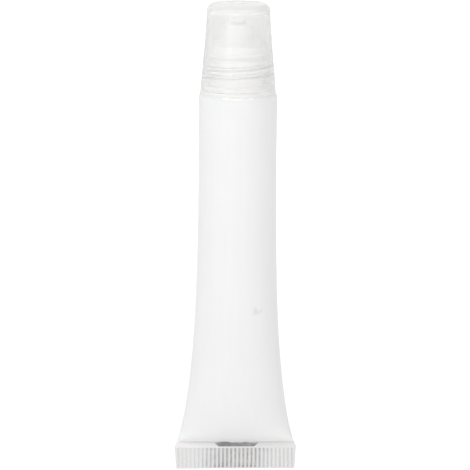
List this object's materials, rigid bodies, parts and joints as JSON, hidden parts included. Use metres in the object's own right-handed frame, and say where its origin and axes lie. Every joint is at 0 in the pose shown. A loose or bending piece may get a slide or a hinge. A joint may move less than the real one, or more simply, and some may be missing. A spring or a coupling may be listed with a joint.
{
  "type": "lip gloss tube",
  "caption": "Squeeze tube for lip gloss with a flat ribbed crimped tail, a threaded neck with a nozzle tip, and a tapered translucent screw cap.",
  "frame": {"origin": "middle of the crimped tail's cut end, which is the bottom of the bounding box", "axes": "+Z runs along the tube from the crimp to the cap, X is across the flat crimp, Y is through its thickness"},
  "size_m": [0.025, 0.016, 0.097],
  "materials": {
    "sleeve": "satin",
    "head": "satin",
    "nozzle": "satin",
    "gloss": "gloss",
    "seal_plug": "matte",
    "cap": "gloss"
  },
  "bodies": {
    "tube": {"tube_sleeve": "sleeve", "tube_head": "head", "nozzle_tip": "nozzle", "gloss_fill": "gloss"},
    "seal": {"cap_seal_plug": "seal_plug"},
    "cap": {"screw_cap": "cap"}
  },
  "joints": [
    {"name": "cap_lift", "type": "slide", "parent": "tube", "child": "seal", "axis": [0, 0, 1], "range_m": [0, 0.016]},
    {"name": "cap_turn", "type": "hinge", "parent": "seal", "child": "cap", "pos_m": [0, 0, 0.0795], "axis": [0, 0, 1], "range_deg": [0, 3600]}
  ],
  "couplings": [
    {"joint": "cap_turn", "follows": "cap_lift", "rad_per_m": 3927}
  ]
}
